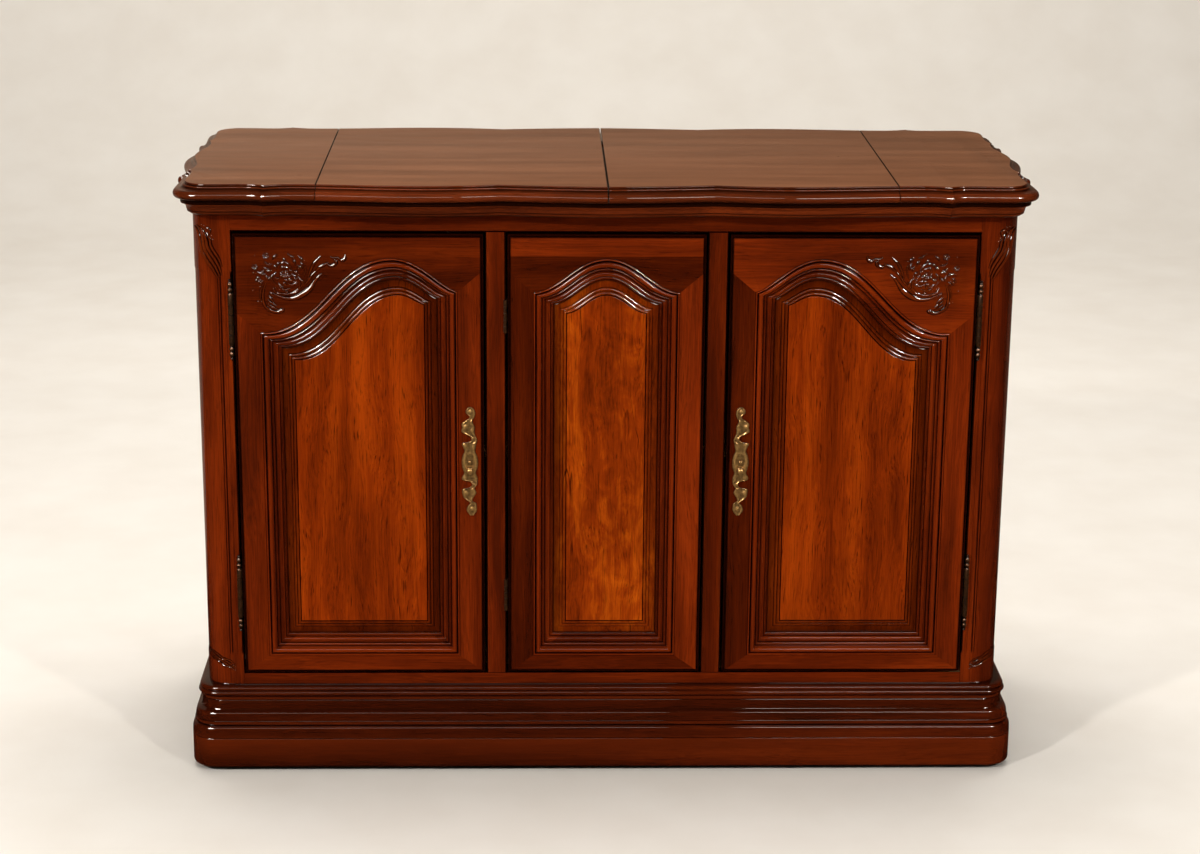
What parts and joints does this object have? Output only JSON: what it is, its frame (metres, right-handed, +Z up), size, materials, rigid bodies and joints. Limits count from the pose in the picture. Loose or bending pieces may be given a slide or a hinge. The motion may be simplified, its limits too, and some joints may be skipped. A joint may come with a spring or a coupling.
{
  "type": "flip top server",
  "caption": "Low mahogany and walnut server with arched, carved doors and a serpentine top whose leaves flip outward to a black serving surface.",
  "frame": {"origin": "on the floor under the middle of the width and depth", "axes": "+Z up, the doors face -Y, +X runs along the width to the right as seen from the front"},
  "size_m": [1.276, 0.53, 0.9135],
  "materials": {
    "mahogany_dark": "satin lacquer",
    "mahogany_red": "satin lacquer",
    "walnut_top": "polished lacquer",
    "walnut_panel": "satin lacquer",
    "plain_wood": "thin sealed coat",
    "black_laminate": "fine texture",
    "antique_brass": "antiqued",
    "zinc_steel": "zinc plated",
    "black_rubber": "moulded"
  },
  "bodies": {
    "case": {"plinth_frame": "mahogany_dark", "base_moulding": "mahogany_dark", "case_floor": "mahogany_dark", "top_rail": "mahogany_dark", "left_stile": "mahogany_dark", "right_stile": "mahogany_dark", "sub_top": "mahogany_dark", "front_left_post": "mahogany_red", "front_right_post": "mahogany_red", "rear_left_post": "mahogany_red", "rear_right_post": "mahogany_red", "left_side_panel": "mahogany_red", "right_side_panel": "mahogany_red", "back_panel": "mahogany_red", "left_top_end": "walnut_top", "right_top_end": "walnut_top", "left_partition": "plain_wood", "right_partition": "plain_wood", "left_shelf": "plain_wood", "centre_shelf": "plain_wood", "right_shelf": "plain_wood", "serving_surface": "black_laminate", "left_front_end_barrel": "zinc_steel", "left_rear_end_barrel": "zinc_steel", "right_front_end_barrel": "zinc_steel", "right_rear_end_barrel": "zinc_steel", "left_lower_hinge_case_leaf": "antique_brass", "left_upper_hinge_case_leaf": "antique_brass", "right_lower_hinge_case_leaf": "antique_brass", "right_upper_hinge_case_leaf": "antique_brass", "centre_lower_hinge_case_leaf": "antique_brass", "centre_upper_hinge_case_leaf": "antique_brass"},
    "left_flip_leaf": {"left_leaf": "walnut_top", "left_front_leaf_barrel": "zinc_steel", "left_rear_leaf_barrel": "zinc_steel"},
    "left_door": {"left_door_frame": "mahogany_red", "left_door_panel": "walnut_panel", "left_pull": "antique_brass", "left_lower_hinge_door_leaf": "antique_brass", "left_upper_hinge_door_leaf": "antique_brass"},
    "right_flip_leaf": {"right_leaf": "walnut_top", "right_front_leaf_barrel": "zinc_steel", "right_rear_leaf_barrel": "zinc_steel"},
    "right_door": {"right_door_frame": "mahogany_red", "right_door_panel": "walnut_panel", "right_pull": "antique_brass", "right_lower_hinge_door_leaf": "antique_brass", "right_upper_hinge_door_leaf": "antique_brass"},
    "centre_door": {"centre_door_frame": "mahogany_red", "centre_door_panel": "walnut_panel", "centre_lower_hinge_door_leaf": "antique_brass", "centre_upper_hinge_door_leaf": "antique_brass"},
    "front_left_fork": {"front_left_caster_fork": "zinc_steel"},
    "front_left_wheel": {"front_left_caster_wheel": "black_rubber"},
    "front_right_fork": {"front_right_caster_fork": "zinc_steel"},
    "front_right_wheel": {"front_right_caster_wheel": "black_rubber"},
    "rear_left_fork": {"rear_left_caster_fork": "zinc_steel"},
    "rear_left_wheel": {"rear_left_caster_wheel": "black_rubber"},
    "rear_right_fork": {"rear_right_caster_fork": "zinc_steel"},
    "rear_right_wheel": {"rear_right_caster_wheel": "black_rubber"}
  },
  "joints": [
    {"name": "left_leaf_flip", "type": "hinge", "parent": "case", "child": "left_flip_leaf", "pos_m": [-0.4204, 0, 0.914], "axis": [0, -1, 0], "range_deg": [0, 180]},
    {"name": "right_leaf_flip", "type": "hinge", "parent": "case", "child": "right_flip_leaf", "pos_m": [0.4204, 0, 0.914], "axis": [0, 1, 0], "range_deg": [0, 180]},
    {"name": "left_door_swing", "type": "hinge", "parent": "case", "child": "left_door", "pos_m": [-0.55, -0.2178, 0.5], "axis": [0, 0, -1], "range_deg": [0, 110]},
    {"name": "centre_door_swing", "type": "hinge", "parent": "case", "child": "centre_door", "pos_m": [-0.1487, -0.2168, 0.5], "axis": [0, 0, -1], "range_deg": [0, 110]},
    {"name": "right_door_swing", "type": "hinge", "parent": "case", "child": "right_door", "pos_m": [0.55, -0.2178, 0.5], "axis": [0, 0, 1], "range_deg": [0, 110]},
    {"name": "front_left_swivel", "type": "hinge", "parent": "case", "child": "front_left_fork", "pos_m": [-0.49, -0.1344, 0.06], "axis": [0, 0, 1], "continuous": true},
    {"name": "front_left_roll", "type": "hinge", "parent": "front_left_fork", "child": "front_left_wheel", "pos_m": [-0.49, -0.1164, 0.022], "axis": [1, 0, 0], "continuous": true},
    {"name": "front_right_swivel", "type": "hinge", "parent": "case", "child": "front_right_fork", "pos_m": [0.49, -0.1344, 0.06], "axis": [0, 0, 1], "continuous": true},
    {"name": "front_right_roll", "type": "hinge", "parent": "front_right_fork", "child": "front_right_wheel", "pos_m": [0.49, -0.1164, 0.022], "axis": [1, 0, 0], "continuous": true},
    {"name": "rear_left_swivel", "type": "hinge", "parent": "case", "child": "rear_left_fork", "pos_m": [-0.49, 0.1344, 0.06], "axis": [0, 0, 1], "continuous": true},
    {"name": "rear_left_roll", "type": "hinge", "parent": "rear_left_fork", "child": "rear_left_wheel", "pos_m": [-0.49, 0.1524, 0.022], "axis": [1, 0, 0], "continuous": true},
    {"name": "rear_right_swivel", "type": "hinge", "parent": "case", "child": "rear_right_fork", "pos_m": [0.49, 0.1344, 0.06], "axis": [0, 0, 1], "continuous": true},
    {"name": "rear_right_roll", "type": "hinge", "parent": "rear_right_fork", "child": "rear_right_wheel", "pos_m": [0.49, 0.1524, 0.022], "axis": [1, 0, 0], "continuous": true}
  ]
}
